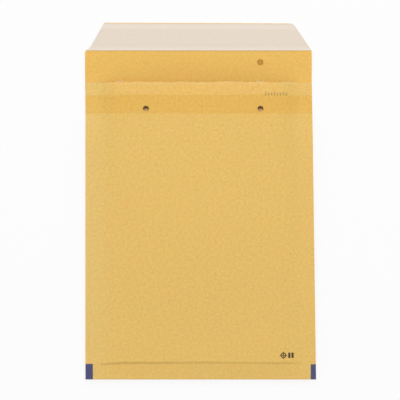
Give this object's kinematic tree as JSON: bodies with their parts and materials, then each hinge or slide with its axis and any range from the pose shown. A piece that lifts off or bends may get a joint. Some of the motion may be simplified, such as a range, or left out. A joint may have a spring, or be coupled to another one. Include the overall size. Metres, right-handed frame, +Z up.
{
  "type": "padded envelope",
  "caption": "Flat kraft paper mailing envelope with a bubble-film lining, punched holes and an open tapered flap with a self-seal strip.",
  "frame": {"origin": "on the ground, under the middle of the envelope's bounding box", "axes": "+Y along the envelope towards the open flap, +X across it to the right of the front, +Z up, out of the front panel"},
  "size_m": [0.172, 0.2656, 0.0119],
  "materials": {
    "kraft_paper": "matt golden-brown kraft paper",
    "bubble_film": "clear, slightly milky polyethylene bubble film",
    "liner_glue": "dried glue",
    "flap_adhesive": "tacky cream hot-melt adhesive",
    "release_paper": "pale siliconised paper, satin"
  },
  "bodies": {
    "root": {"kraft_sheet": "kraft_paper", "bubble_liner": "bubble_film", "front_glue_band": "liner_glue", "back_glue_band": "liner_glue", "flap_adhesive": "flap_adhesive", "release_strip": "release_paper"}
  },
  "joints": []
}
